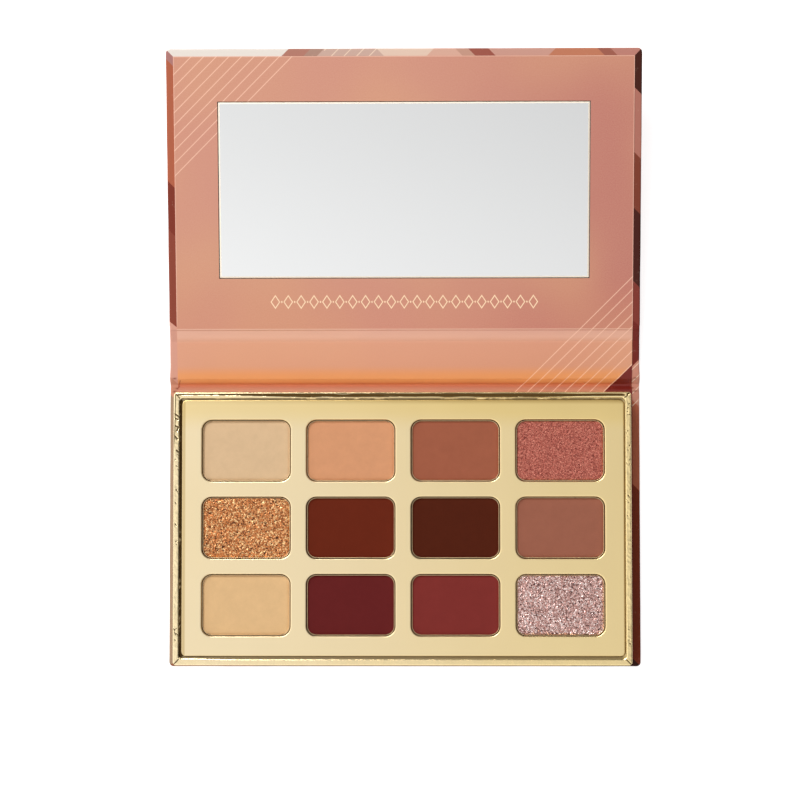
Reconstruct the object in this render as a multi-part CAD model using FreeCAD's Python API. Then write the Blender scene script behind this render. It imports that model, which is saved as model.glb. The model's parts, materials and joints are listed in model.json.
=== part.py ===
import FreeCAD, Part
import os
from FreeCAD import Vector

# Book-style eyeshadow palette: a paper-wrapped greyboard cover in three panels (base, spine and
# lid) joined by two paper hinges, with a foil-wrapped tray of twelve pressed powders on the base
# panel and a mirror let into the lid panel.  Millimetres.
# Frame: origin at the centre of the base panel's underside, +Z up, +Y towards the spine and lid.
# The lid and spine are modelled lying flat behind the base, then lifted by REST_ANGLE.

# ---- cover panels ----
COVER_WIDTH = 141.0
BASE_DEPTH = 82.85          # front edge to the edge of the base board at the hinge
LID_DEPTH = 83.45           # a little longer than the base, so that a thumb can lift it
HINGE_GAP = 3.3             # between the edges of two neighbouring boards
HINGE_SPACING = 15.2        # from one hinge axis to the other, the closed height less the paper
REST_ANGLE = 10.0           # lid and spine spring up this far from flat when let go
CORNER_RADIUS = 1.3

# ---- paper and board thicknesses ----
WRAP = 0.2                  # printed outer paper
LINER = 0.15                # inner paper
TURN_IN = 12.0              # how far the outer paper is folded over onto the inside
LINER_MARGIN = 2.2          # the folded strip that stays visible around the liner
BASE_BOARD = 1.5
SPINE_BOARD = 1.0
LID_BACK = 1.0
LID_FRAME = 1.0
FOLD_CLEARANCE = 0.25       # half of the bare fold line on each hinge axis

# ---- mirror ----
MIRROR_WIDTH = 110.3
MIRROR_DEPTH = 52.2
MIRROR_FROM_HINGE = 17.2
MIRROR_TAPE = 0.1
MIRROR_GLASS = 1.1
MIRROR_GAP = 0.2

# ---- tray ----
TRAY_WIDTH = 135.5
TRAY_DEPTH = 80.7
TRAY_FROM_HINGE = 2.95      # rear wall to the base hinge axis
TRAY_SHIFT = -0.6           # the tray is glued on a little left of centre
TRAY_RADIUS = 1.0
WALL = 1.8                  # board with foil on both faces
FOIL = 0.3                  # metallised card, pasted on
RIM_OUTSIDE_RADIUS = 0.4    # rounding of the foil along the top of the walls
RIM_INSIDE_RADIUS = 0.55
CLOSING_GAP = 0.15          # tray rim to lid liner when closed
FLOOR_CARD = 0.5
PANEL_RECESS = 0.8
PANEL_WIDTH = 131.2
PANEL_DEPTH = 75.9
PANEL_THICKNESS = 1.5
PANEL_RADIUS = 1.8
PANEL_SHIFT = (0.2, 0.175)  # the insert lies to the right and rear of the tray's centre

# ---- windows, pans and powders ----
COLUMNS = 4
ROWS = 3
PITCH_X = 31.0
PITCH_Y = 22.85
WINDOW_WIDTH = 26.3
WINDOW_DEPTH = 18.3
WINDOW_RADIUS = 3.0
WINDOW_SHIFT = 0.1          # the windows are cut right of the insert's centre
PAN_CLEARANCE = 0.2         # between a pan and its window, all round
PAN_RIM_DROP = 0.95         # pan rim below the panel's face
PAN_HEIGHT = 4.0
PAN_METAL = 0.2
PAN_GLUE = 0.2
GLUE_DOT = 4.0              # radius
POWDER_DROP = 0.15          # powder surface below the pan's rim
POCKET_GAP = 0.15
CARRIER_SKIN = 0.8

# ---- magnets ----
MAGNET_LENGTH = 12.0
MAGNET_X = 40.0
TRAY_MAGNET = (MAGNET_LENGTH, 1.0, 3.0)
LID_MAGNET = (MAGNET_LENGTH, 3.0, 1.0)
MAGNET_COVER = 0.15         # board left above a tray magnet

# ---- worked out from the above ----
PAPER = WRAP + LINER
AXIS_Z = PAPER / 2
HALF_GAP = HINGE_GAP / 2
BASE_FRONT = -BASE_DEPTH / 2
BASE_REAR = BASE_DEPTH / 2
BASE_AXIS_Y = BASE_REAR + HALF_GAP
LID_AXIS_Y = BASE_AXIS_Y + HINGE_SPACING
LID_NEAR = LID_AXIS_Y + HALF_GAP
LID_FAR = LID_NEAR + LID_DEPTH
BASE_TOP = WRAP + BASE_BOARD + WRAP + LINER
LID_TOP = WRAP + LID_BACK + LID_FRAME + WRAP + LINER
RIM_Z = AXIS_Z + HINGE_SPACING + AXIS_Z - LID_TOP - CLOSING_GAP
TRAY_REAR = BASE_AXIS_Y - TRAY_FROM_HINGE
TRAY_Y = TRAY_REAR - TRAY_DEPTH / 2
PANEL_X = TRAY_SHIFT + PANEL_SHIFT[0]
PANEL_Y = TRAY_Y + PANEL_SHIFT[1]
PANEL_TOP = RIM_Z - PANEL_RECESS
PANEL_UNDER = PANEL_TOP - PANEL_THICKNESS
PAN_RIM = PANEL_TOP - PAN_RIM_DROP
PAN_UNDER = PAN_RIM - PAN_HEIGHT
CARRIER_UNDER = BASE_TOP + FLOOR_CARD
MIRROR_Y = LID_AXIS_Y + MIRROR_FROM_HINGE + MIRROR_DEPTH / 2


def slab(x0, x1, y0, y1, z0, z1):
    """A square-cornered plate between two opposite corners."""
    return Part.makeBox(x1 - x0, y1 - y0, z1 - z0, Vector(x0, y0, z0))


def plate(width, depth, z0, z1, radius, x=0.0, y=0.0):
    """A plate centred on x, y with its four upright corners rounded."""
    body = slab(x - width / 2, x + width / 2, y - depth / 2, y + depth / 2, z0, z1)
    if radius <= 0:
        return body
    upright = [e for e in body.Edges if abs(e.Vertexes[0].Z - e.Vertexes[1].Z) > 1e-6]
    return body.makeFillet(radius, upright)


def rounded_at(body, radius, at_y):
    """Round the upright edges that stand on the plane y = at_y."""
    picked = []
    for edge in body.Edges:
        ends = [v.Point for v in edge.Vertexes]
        if len(ends) < 2:
            continue
        on_plane = all(abs(p.y - at_y) < 1e-6 for p in ends)
        if on_plane and abs(ends[0].z - ends[1].z) > 1e-6:
            picked.append(edge)
    return body.makeFillet(radius, picked)


def fused(shapes):
    whole = shapes[0].multiFuse(shapes[1:])
    return whole.removeSplitter()


def board_block(near, far, z0, z1):
    """Board with its free corners rounded; near is the hinge side, far the free side."""
    half = COVER_WIDTH / 2 - WRAP
    inset = WRAP if far > near else -WRAP
    block = slab(-half, half, min(near, far - inset), max(near, far - inset), z0, z1)
    return rounded_at(block, CORNER_RADIUS - WRAP, far - inset)


def panel_wrap(near, far, board_z1, fold):
    """Outer paper of the base or the lid: sheet, three folded edges and three turn-ins.
    near is the hinge side, far the free side, fold where the paper stops at the hinge axis."""
    way = 1 if far > near else -1
    half = COVER_WIDTH / 2
    low, high = min(near, far), max(near, far)
    top = board_z1 + WRAP
    block = rounded_at(slab(-half, half, low, high, 0, top), CORNER_RADIUS, far)
    block = block.cut(board_block(near, far, WRAP, board_z1))
    open_far = far - way * TURN_IN
    opening = slab(-half + TURN_IN, half - TURN_IN, min(near, open_far), max(near, open_far),
                   WRAP, top)
    block = block.cut(opening)
    tongue = slab(-half, half, min(near, fold), max(near, fold), 0, WRAP)
    return fused([block, tongue])


def panel_liner(near, far, board_z1, fold):
    """Inner paper of the base or the lid: it fills level between the turn-ins, drops over the
    edge of the board and is pasted to the outer paper in the hinge."""
    way = 1 if far > near else -1
    half = COVER_WIDTH / 2 - LINER_MARGIN
    under = board_z1 + WRAP
    edge = far - way * LINER_MARGIN
    hinge_side = near - way * LINER
    sheet = slab(-half, half, min(hinge_side, edge), max(hinge_side, edge), under, under + LINER)
    inner_far = far - way * TURN_IN
    filler = slab(-COVER_WIDTH / 2 + TURN_IN, COVER_WIDTH / 2 - TURN_IN,
                  min(near, inner_far), max(near, inner_far), board_z1, under)
    drop = slab(-half, half, min(near, hinge_side), max(near, hinge_side), WRAP, under)
    tongue = slab(-half, half, min(near, fold), max(near, fold), WRAP, WRAP + LINER)
    return fused([sheet, filler, drop, tongue])


# ---- base panel ----

def base_board():
    return board_block(BASE_REAR, BASE_FRONT, WRAP, WRAP + BASE_BOARD)


def base_wrap():
    return panel_wrap(BASE_REAR, BASE_FRONT, WRAP + BASE_BOARD, BASE_AXIS_Y - FOLD_CLEARANCE)


def base_liner():
    return panel_liner(BASE_REAR, BASE_FRONT, WRAP + BASE_BOARD, BASE_AXIS_Y - FOLD_CLEARANCE)


# ---- spine panel ----

def spine_limits():
    return BASE_AXIS_Y + HALF_GAP, LID_AXIS_Y - HALF_GAP


def spine_board():
    low, high = spine_limits()
    half = COVER_WIDTH / 2 - WRAP
    return slab(-half, half, low, high, WRAP, WRAP + SPINE_BOARD)


def spine_wrap():
    low, high = spine_limits()
    half = COVER_WIDTH / 2
    top = WRAP + SPINE_BOARD + WRAP
    sleeve = slab(-half, half, low, high, 0, top)
    sleeve = sleeve.cut(spine_board())
    sleeve = sleeve.cut(slab(-half + TURN_IN, half - TURN_IN, low, high, WRAP, top))
    sheet = slab(-half, half, BASE_AXIS_Y + FOLD_CLEARANCE, LID_AXIS_Y - FOLD_CLEARANCE, 0, WRAP)
    return fused([sleeve, sheet])


def spine_liner():
    low, high = spine_limits()
    half = COVER_WIDTH / 2 - LINER_MARGIN
    board_top = WRAP + SPINE_BOARD
    under = board_top + WRAP
    pieces = [
        slab(-half, half, low - LINER, high + LINER, under, under + LINER),
        slab(-COVER_WIDTH / 2 + TURN_IN, COVER_WIDTH / 2 - TURN_IN, low, high, board_top, under),
    ]
    for edge, out, fold in ((low, -LINER, BASE_AXIS_Y + FOLD_CLEARANCE),
                            (high, LINER, LID_AXIS_Y - FOLD_CLEARANCE)):
        pieces.append(slab(-half, half, min(edge, edge + out), max(edge, edge + out), WRAP, under))
        pieces.append(slab(-half, half, min(edge, fold), max(edge, fold), WRAP, WRAP + LINER))
    return fused(pieces)


# ---- lid panel ----

def lid_back_board():
    return board_block(LID_NEAR, LID_FAR, WRAP, WRAP + LID_BACK)


def mirror_window(z0, z1):
    return plate(MIRROR_WIDTH + 2 * MIRROR_GAP, MIRROR_DEPTH + 2 * MIRROR_GAP, z0, z1, 0,
                 y=MIRROR_Y)


def lid_magnet_centres():
    """The lid magnets meet the tray magnets, which stand in the middle of the front wall."""
    y = LID_AXIS_Y + (BASE_AXIS_Y - (TRAY_REAR - TRAY_DEPTH + WALL / 2))
    z = WRAP + LID_BACK + LID_FRAME - LID_MAGNET[2] / 2
    return [(TRAY_SHIFT + side * MAGNET_X, y, z) for side in (-1, 1)]


def magnet(centre, size):
    x, y, z = centre
    return slab(x - size[0] / 2, x + size[0] / 2, y - size[1] / 2, y + size[1] / 2,
                z - size[2] / 2, z + size[2] / 2)


def lid_frame_board():
    z0 = WRAP + LID_BACK
    board = board_block(LID_NEAR, LID_FAR, z0, z0 + LID_FRAME)
    board = board.cut(mirror_window(z0, z0 + LID_FRAME))
    for centre in lid_magnet_centres():
        board = board.cut(magnet(centre, LID_MAGNET))
    return board


def lid_wrap():
    board_z1 = WRAP + LID_BACK + LID_FRAME
    return panel_wrap(LID_NEAR, LID_FAR, board_z1, LID_AXIS_Y + FOLD_CLEARANCE)


def lid_liner():
    board_z1 = WRAP + LID_BACK + LID_FRAME
    liner = panel_liner(LID_NEAR, LID_FAR, board_z1, LID_AXIS_Y + FOLD_CLEARANCE)
    return liner.cut(mirror_window(board_z1, LID_TOP))


def mirror_tape():
    z0 = WRAP + LID_BACK
    return plate(MIRROR_WIDTH - 4, MIRROR_DEPTH - 4, z0, z0 + MIRROR_TAPE, 0, y=MIRROR_Y)


def mirror():
    z0 = WRAP + LID_BACK + MIRROR_TAPE
    return plate(MIRROR_WIDTH, MIRROR_DEPTH, z0, z0 + MIRROR_GLASS, 0, y=MIRROR_Y)


# ---- tray ----

def tray_block(inset, z0, z1):
    """The tray's outline shrunk by inset on every side."""
    return plate(TRAY_WIDTH - 2 * inset, TRAY_DEPTH - 2 * inset, z0, z1,
                 max(TRAY_RADIUS - inset, 0), x=TRAY_SHIFT, y=TRAY_Y)


def soft_ring(outer_inset, inner_inset, top, outer_radius, inner_radius):
    """A ring that follows the tray's outline, with the two edges along its top rounded."""
    ring = tray_block(outer_inset, BASE_TOP, top).cut(tray_block(inner_inset, BASE_TOP, top))
    for radius, inner in ((outer_radius, False), (inner_radius, True)):
        picked = []
        for edge in ring.Edges:
            level = all(abs(v.Z - top) < 1e-6 for v in edge.Vertexes)
            middle = edge.valueAt((edge.FirstParameter + edge.LastParameter) / 2)
            x, y = abs(middle.x - TRAY_SHIFT), abs(middle.y - TRAY_Y)
            half_x = TRAY_WIDTH / 2 - (outer_inset + inner_inset) / 2
            half_y = TRAY_DEPTH / 2 - (outer_inset + inner_inset) / 2
            if level and (x < half_x and y < half_y) == inner:
                picked.append(edge)
        ring = ring.makeFillet(radius, picked)
    return ring


def tray_ring():
    """The four board walls as one ring, without foil."""
    return soft_ring(FOIL, WALL - FOIL, RIM_Z - FOIL,
                     RIM_OUTSIDE_RADIUS - FOIL, RIM_INSIDE_RADIUS - FOIL)


def tray_magnet_centres():
    y = TRAY_REAR - TRAY_DEPTH + WALL / 2
    z = RIM_Z - FOIL - MAGNET_COVER - TRAY_MAGNET[2] / 2
    return [(TRAY_SHIFT + side * MAGNET_X, y, z) for side in (-1, 1)]


def tray_wall(side):
    """One board wall: front and rear run the full width, left and right fit between them."""
    ring = tray_ring()
    inner_x = TRAY_WIDTH / 2 - WALL + FOIL
    inner_y = TRAY_DEPTH / 2 - WALL + FOIL
    reach = COVER_WIDTH
    cutters = {
        "front": slab(-reach, reach, TRAY_Y - reach, TRAY_Y - inner_y, 0, reach),
        "rear": slab(-reach, reach, TRAY_Y + inner_y, TRAY_Y + reach, 0, reach),
        "left": slab(-reach, TRAY_SHIFT - inner_x, TRAY_Y - inner_y, TRAY_Y + inner_y, 0, reach),
        "right": slab(TRAY_SHIFT + inner_x, reach, TRAY_Y - inner_y, TRAY_Y + inner_y, 0, reach),
    }
    wall = ring.common(cutters[side])
    if side == "front":
        for centre in tray_magnet_centres():
            wall = wall.cut(magnet(centre, TRAY_MAGNET))
    return wall


def tray_foil():
    """Metallic paper over the outside, rim and inside of the walls."""
    return soft_ring(0, WALL, RIM_Z, RIM_OUTSIDE_RADIUS, RIM_INSIDE_RADIUS).cut(tray_ring())


def tray_floor():
    return tray_block(WALL, BASE_TOP, CARRIER_UNDER)


# ---- insert, pans and powders ----

def pan_centres():
    """Centres of the twelve pans, row by row from the rear left."""
    centres = []
    for row in range(ROWS):
        for column in range(COLUMNS):
            x = PANEL_X + WINDOW_SHIFT + (column - (COLUMNS - 1) / 2) * PITCH_X
            y = PANEL_Y + ((ROWS - 1) / 2 - row) * PITCH_Y
            centres.append((x, y))
    return centres


def pan_block(centre, grow, z0, z1):
    """A block in the shape of a pan, grown by grow on every side."""
    change = grow - PAN_CLEARANCE
    width = WINDOW_WIDTH + 2 * change
    depth = WINDOW_DEPTH + 2 * change
    return plate(width, depth, z0, z1, WINDOW_RADIUS + change, centre[0], centre[1])


def pan_carrier():
    """Formed tray: thin deck and skirt with a cup under each pan."""
    outer = plate(PANEL_WIDTH, PANEL_DEPTH, CARRIER_UNDER, PANEL_UNDER, PANEL_RADIUS,
                  PANEL_X, PANEL_Y)
    hollow = plate(PANEL_WIDTH - 2 * CARRIER_SKIN, PANEL_DEPTH - 2 * CARRIER_SKIN,
                   CARRIER_UNDER, PANEL_UNDER - CARRIER_SKIN, PANEL_RADIUS - CARRIER_SKIN,
                   PANEL_X, PANEL_Y)
    cup_floor = PAN_UNDER - PAN_GLUE
    shell = outer.cut(hollow)
    cups = [pan_block(c, POCKET_GAP + CARRIER_SKIN, cup_floor - CARRIER_SKIN, PANEL_UNDER)
            for c in pan_centres()]
    shell = shell.multiFuse(cups)
    for centre in pan_centres():
        shell = shell.cut(pan_block(centre, POCKET_GAP, cup_floor, PANEL_UNDER))
    return shell.removeSplitter()


def pan_glue():
    dots = [Part.makeCylinder(GLUE_DOT, PAN_GLUE, Vector(x, y, PAN_UNDER - PAN_GLUE))
            for x, y in pan_centres()]
    return Part.makeCompound(dots)


def insert_panel():
    panel = plate(PANEL_WIDTH, PANEL_DEPTH, PANEL_UNDER, PANEL_TOP, PANEL_RADIUS,
                  PANEL_X, PANEL_Y)
    for x, y in pan_centres():
        panel = panel.cut(plate(WINDOW_WIDTH, WINDOW_DEPTH, PANEL_UNDER, PANEL_TOP,
                                WINDOW_RADIUS, x, y))
    return panel


def pan(centre):
    inside = pan_block(centre, -PAN_METAL, PAN_UNDER + PAN_METAL, PAN_RIM)
    return pan_block(centre, 0, PAN_UNDER, PAN_RIM).cut(inside)


def powder(centre):
    return pan_block(centre, -PAN_METAL, PAN_UNDER + PAN_METAL, PAN_RIM - POWDER_DROP)


def lifted(shape):
    """Turn a lid or spine piece up to the open resting angle."""
    copy = shape.copy()
    copy.rotate(Vector(0, BASE_AXIS_Y, AXIS_Z), Vector(1, 0, 0), REST_ANGLE)
    return copy


def all_parts():
    parts = {
        "base_board": base_board(),
        "base_wrap": base_wrap(),
        "base_liner": base_liner(),
        "tray_foil": tray_foil(),
        "tray_floor": tray_floor(),
        "pan_carrier": pan_carrier(),
        "pan_glue": pan_glue(),
        "insert_panel": insert_panel(),
    }
    for side in ("front", "rear", "left", "right"):
        parts["tray_wall_" + side] = tray_wall(side)
    for side, centre in zip(("left", "right"), tray_magnet_centres()):
        parts["tray_magnet_" + side] = magnet(centre, TRAY_MAGNET)
    for number, centre in enumerate(pan_centres(), start=1):
        parts["pan_%02d" % number] = pan(centre)
        parts["powder_%02d" % number] = powder(centre)
    moving = {
        "spine_board": spine_board(),
        "spine_wrap": spine_wrap(),
        "spine_liner": spine_liner(),
        "lid_back_board": lid_back_board(),
        "lid_frame_board": lid_frame_board(),
        "lid_wrap": lid_wrap(),
        "lid_liner": lid_liner(),
        "mirror_tape": mirror_tape(),
        "mirror": mirror(),
    }
    for side, centre in zip(("left", "right"), lid_magnet_centres()):
        moving["lid_magnet_" + side] = magnet(centre, LID_MAGNET)
    for name, shape in moving.items():
        parts[name] = lifted(shape)
    return parts


os.makedirs("parts", exist_ok=True)
for name, shape in all_parts().items():
    shape.exportStep("parts/" + name + ".step")
    print(name, len(shape.Solids), round(shape.Volume, 1), shape.isValid())
print("base hinge axis", BASE_AXIS_Y, AXIS_Z, "lid hinge axis", LID_AXIS_Y, "rim", RIM_Z)
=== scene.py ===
"""Looks of the book-style eyeshadow palette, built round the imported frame.

Two coordinate systems are used.  The row frame is the CAD's, in metres.  The flat frame is the
cover unfolded on the table, in millimetres: x runs along the hinges, s across them from the base
hinge axis (minus towards the front of the base, plus towards the free edge of the lid), and z is
the height above the underside.  lift() turns flat points into row-frame points.
"""
import json
import math

import bpy
import numpy as np
from mathutils import Matrix, Vector, noise
from mathutils.geometry import delaunay_2d_cdt

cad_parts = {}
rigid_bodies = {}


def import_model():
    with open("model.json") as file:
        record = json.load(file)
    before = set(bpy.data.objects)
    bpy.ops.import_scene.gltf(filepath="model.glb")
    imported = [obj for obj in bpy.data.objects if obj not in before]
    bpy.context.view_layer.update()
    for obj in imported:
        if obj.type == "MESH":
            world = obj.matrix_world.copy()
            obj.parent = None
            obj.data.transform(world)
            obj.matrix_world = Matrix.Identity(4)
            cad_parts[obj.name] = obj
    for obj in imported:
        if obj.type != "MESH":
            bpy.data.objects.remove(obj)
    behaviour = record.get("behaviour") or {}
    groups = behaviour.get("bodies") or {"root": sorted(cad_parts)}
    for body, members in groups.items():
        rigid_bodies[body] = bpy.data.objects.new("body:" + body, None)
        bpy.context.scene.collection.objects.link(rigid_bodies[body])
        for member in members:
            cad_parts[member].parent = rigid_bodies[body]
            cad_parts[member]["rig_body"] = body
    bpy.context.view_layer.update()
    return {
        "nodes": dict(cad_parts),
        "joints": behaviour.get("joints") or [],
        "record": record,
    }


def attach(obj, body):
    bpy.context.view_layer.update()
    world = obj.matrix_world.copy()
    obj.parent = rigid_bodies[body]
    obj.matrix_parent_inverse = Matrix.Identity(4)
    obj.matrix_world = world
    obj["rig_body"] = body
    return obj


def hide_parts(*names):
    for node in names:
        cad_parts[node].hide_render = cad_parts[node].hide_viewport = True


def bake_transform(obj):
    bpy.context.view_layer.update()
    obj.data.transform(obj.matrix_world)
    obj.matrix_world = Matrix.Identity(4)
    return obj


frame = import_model()

MM = 0.001

# -------- sizes read from the frame

joints = {joint["name"]: joint for joint in frame["joints"]}
AXIS = np.array(joints["spine_hinge"]["pos_m"]) / MM
LID_AXIS = np.array(joints["lid_hinge"]["pos_m"]) / MM
REST = math.radians(-joints["spine_hinge"]["range_deg"][0])
SPACING = float(np.linalg.norm(LID_AXIS - AXIS))
BODY_OF = {node: obj["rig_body"] for node, obj in frame["nodes"].items()}


def flat_box(node):
    """Lowest and highest corner of a CAD node in the flat frame, in millimetres."""
    mesh = frame["nodes"][node].data
    co = np.empty(len(mesh.vertices) * 3, np.float32)
    mesh.vertices.foreach_get("co", co)
    p = co.reshape(-1, 3).astype(float) / MM - np.array([0, AXIS[1], 0])
    if BODY_OF[node] != "base":
        y, z = p[:, 1].copy(), p[:, 2] - AXIS[2]
        p[:, 1] = y * math.cos(REST) + z * math.sin(REST)
        p[:, 2] = AXIS[2] - y * math.sin(REST) + z * math.cos(REST)
    return p.min(0), p.max(0)


BASE_LO, BASE_HI = flat_box("base_wrap")
LID_HI = flat_box("lid_wrap")[1]
LINER_HI = flat_box("base_liner")[1]
SPINE_BOARD_LO, SPINE_BOARD_HI = flat_box("spine_board")
BASE_BOARD_LO = flat_box("base_board")[0]
MIRROR_LO, MIRROR_HI = flat_box("mirror")
FOIL_LO, FOIL_HI = flat_box("tray_foil")
PANEL_LO, PANEL_HI = flat_box("insert_panel")

HALF_X = BASE_HI[0]
FRONT_S = BASE_LO[1]
FAR_S = LID_HI[1]
LINER_X = LINER_HI[0]
LINER_MARGIN = HALF_X - LINER_X
WRAP = BASE_BOARD_LO[2]
LINER = LINER_HI[2] - BASE_HI[2]
BASE_PAPER_Z = BASE_HI[2]               # top of the folded-in outer paper on the base
SPINE_PAPER_Z = SPINE_BOARD_HI[2] + WRAP
LID_PAPER_Z = LID_HI[2]
GAP = SPINE_BOARD_LO[1]                 # hinge axis to the edge of a board
WALL = 1.8              # tray wall with the foil on both faces
PANEL_R = 1.5           # corners of the gold card
SLACK = 0.2             # how far the foil can sink before it meets the board
RIM_Z = FOIL_HI[2]

# -------- chosen detail sizes, millimetres

CORNER = 1.3            # plan radius of the cover's free corners
EDGE = 0.45             # rounding of paper over the edge of a board
FOLD = 0.7              # a hinge bends within this far of its axis
SEAM = 1.1              # hinge strips reach this far over the boards
TUCK = 3.4              # folded-in paper, to where it runs under the liner
SHEET = WRAP * 0.8      # outer paper
STEP = 0.12             # spacing of points round a small bend
UNDER = 12.0            # paper on the underside is one face beyond this distance from the edge
PRESSED = 0.16          # how far a hinge is pressed in from outside
BULGE_AT = 2.0          # the cover's ends swell beside the base hinge, centred here
BULGE_REACH = 2.4
BULGE = {-1: 0.22, 1: 0.20}     # left and right


# -------- meshes

def unit(t):
    """Values kept between 0 and 1."""
    return np.clip(t, 0, 1)


def smoothstep(t):
    t = unit(t)
    return t * t * (3 - 2 * t)


def lift(points):
    """Flat millimetre points in the row frame, in metres, with spine and lid at the rest angle."""
    p = np.asarray(points, float)
    angle = REST * smoothstep((p[:, 1] + FOLD) / (2 * FOLD))
    s, z = p[:, 1], p[:, 2] - AXIS[2]
    out = p.copy()
    out[:, 1] = AXIS[1] + s * np.cos(angle) - z * np.sin(angle)
    out[:, 2] = AXIS[2] + s * np.sin(angle) + z * np.cos(angle)
    return out * MM


def soften(mesh, angle):
    """Smooth shading with sharp edges where faces meet at more than angle degrees."""
    mesh.shade_smooth()
    mesh.set_sharp_from_angle(angle=math.radians(angle))


def piece(name, points, faces, material, smooth=40, second=None, crease=None):
    """A mesh object from flat points, whose x and s are also its print coordinates.  second is
    (material, first face) for faces that take another material, and the last argument is each
    point's share of painted shade, from 0 to 1, which at the hinges is how deep in a fold it lies."""
    points = np.asarray(points, float)
    mesh = bpy.data.meshes.new(name)
    mesh.from_pydata(lift(points).tolist(), [], [list(map(int, f)) for f in faces])
    layer = mesh.uv_layers.new(name="flat")
    corner = np.empty(len(mesh.loops), np.int32)
    mesh.loops.foreach_get("vertex_index", corner)
    layer.data.foreach_set("uv", points[corner, :2].astype(np.float32).ravel())
    mesh.materials.append(material)
    if second:
        mesh.materials.append(second[0])
        index = np.zeros(len(mesh.polygons), np.int32)
        index[second[1]:] = 1
        mesh.polygons.foreach_set("material_index", index)
    if crease is not None:
        layer = mesh.attributes.new("crease", "FLOAT", "POINT")
        layer.data.foreach_set("value", unit(crease).astype(np.float32))
    obj = bpy.data.objects.new(name, mesh)
    bpy.context.scene.collection.objects.link(obj)
    soften(mesh, smooth)
    return obj


def thicken(obj, thickness, smooth=40):
    """Gives a sheet its thickness, applied to the mesh."""
    solid = obj.modifiers.new("thickness", "SOLIDIFY")
    solid.thickness = thickness * MM
    solid.offset = -1.0
    solid.use_even_offset = False
    bake_modifiers(obj)
    soften(obj.data, smooth)


def closeness(points, a, b, reach):
    """1 on the straight stretch from a to b, falling to 0 at reach from it."""
    a, along = np.array(a, float), np.array(b, float) - np.array(a, float)
    t = unit(((points - a) @ along) / max(along @ along, 1e-9))
    away = np.linalg.norm(points - (a + t[:, None] * along), axis=1)
    return unit(1 - away / reach)


def bake_modifiers(obj):
    graph = bpy.context.evaluated_depsgraph_get()
    made = bpy.data.meshes.new_from_object(obj.evaluated_get(graph), depsgraph=graph)
    made.name = obj.name
    obj.modifiers.clear()
    obj.data = made


def bridge(rows, width, closed=False):
    """Quads between successive rows of width points."""
    faces = []
    last = width if closed else width - 1
    for row in range(rows - 1):
        a, b = row * width, (row + 1) * width
        for i in range(last):
            j = (i + 1) % width
            faces.append((a + i, a + j, b + j, b + i))
    return faces


def rounded_path(corners, radii, step):
    """A polyline whose inner corners are replaced by arcs, sampled about every step."""
    corners = [np.array(c, float) for c in corners]
    out = [corners[0]]
    for before, here, after, radius in zip(corners, corners[1:], corners[2:], radii):
        a = (before - here) / np.linalg.norm(before - here)
        b = (after - here) / np.linalg.norm(after - here)
        half = math.acos(np.clip(a @ b, -1, 1)) / 2
        reach = radius / math.tan(half)
        centre = here + (a + b) / np.linalg.norm(a + b) * radius / math.sin(half)
        start, end = here + a * reach - centre, here + b * reach - centre
        sweep = math.pi - 2 * half
        turns = max(2, int(math.ceil(sweep * radius / step * 2)))
        for k in range(turns + 1):
            t = k / turns
            mix = start * math.sin((1 - t) * sweep) + end * math.sin(t * sweep)
            out.append(centre + mix / math.sin(sweep))
    out.append(corners[-1])
    fine = [out[0]]
    for p, q in zip(out, out[1:]):
        parts = max(1, int(round(np.linalg.norm(q - p) / step)))
        fine += [p + (q - p) * k / parts for k in range(1, parts + 1)]
    return np.array(fine)


def loop(x, s, width, depth, radius, inset, counts=(24, 14, 6)):
    """Closed rounded rectangle shrunk by inset, as x, s points.  Every inset has as many points,
    so loops can be bridged.  counts is points per long side, short side and corner."""
    along, across, turn = counts
    round_off = max(radius - inset, 0.05)
    hx, hs = width / 2 - inset - round_off, depth / 2 - inset - round_off
    centres = [(hx, -hs), (hx, hs), (-hx, hs), (-hx, -hs)]
    sides = [across, along, across, along]
    points = []
    for k, (cx, cs) in enumerate(centres):
        for i in range(turn + 1):
            angle = -math.pi / 2 + (k + i / turn) * math.pi / 2
            points.append((cx + round_off * math.cos(angle), cs + round_off * math.sin(angle)))
        nx, ns = centres[(k + 1) % 4]
        angle = k * math.pi / 2
        edge = np.array([math.cos(angle), math.sin(angle)]) * round_off
        a, b = np.array([cx, cs]) + edge, np.array([nx, ns]) + edge
        for i in range(1, sides[k]):
            points.append(tuple(a + (b - a) * i / sides[k]))
    return np.array(points) + np.array([x, s])


def stack(loops, heights):
    """Points of several loops, each at its own height."""
    return np.vstack([np.column_stack([ring, np.full(len(ring), z)])
                      for ring, z in zip(loops, heights)])


def plan(lo, hi):
    """Middle and size of a box seen from above: x, s, width, depth."""
    return (lo[0] + hi[0]) / 2, (lo[1] + hi[1]) / 2, hi[0] - lo[0], hi[1] - lo[1]


def capped(box, radius, levels, counts):
    """Points and faces of a closed shape with a loop at each (inset, height) of levels.  Its two
    end faces come last."""
    rings = [loop(*box, radius, inset, counts) for inset, _ in levels]
    count = len(rings[0])
    faces = bridge(len(rings), count, closed=True)
    faces.append(tuple(range(count))[::-1])
    faces.append(tuple(range((len(rings) - 1) * count, len(rings) * count)))
    return stack(rings, [z for _, z in levels]), faces


def wobble(points, size, scale, seed):
    """Smooth noise of about +-size at each point, with features scale millimetres across."""
    shift = Vector((seed * 7.13, seed * 3.71, seed * 1.37))
    return np.array([noise.noise(Vector(p) / scale + shift) for p in points]) * size


# -------- shader nodes

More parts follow.
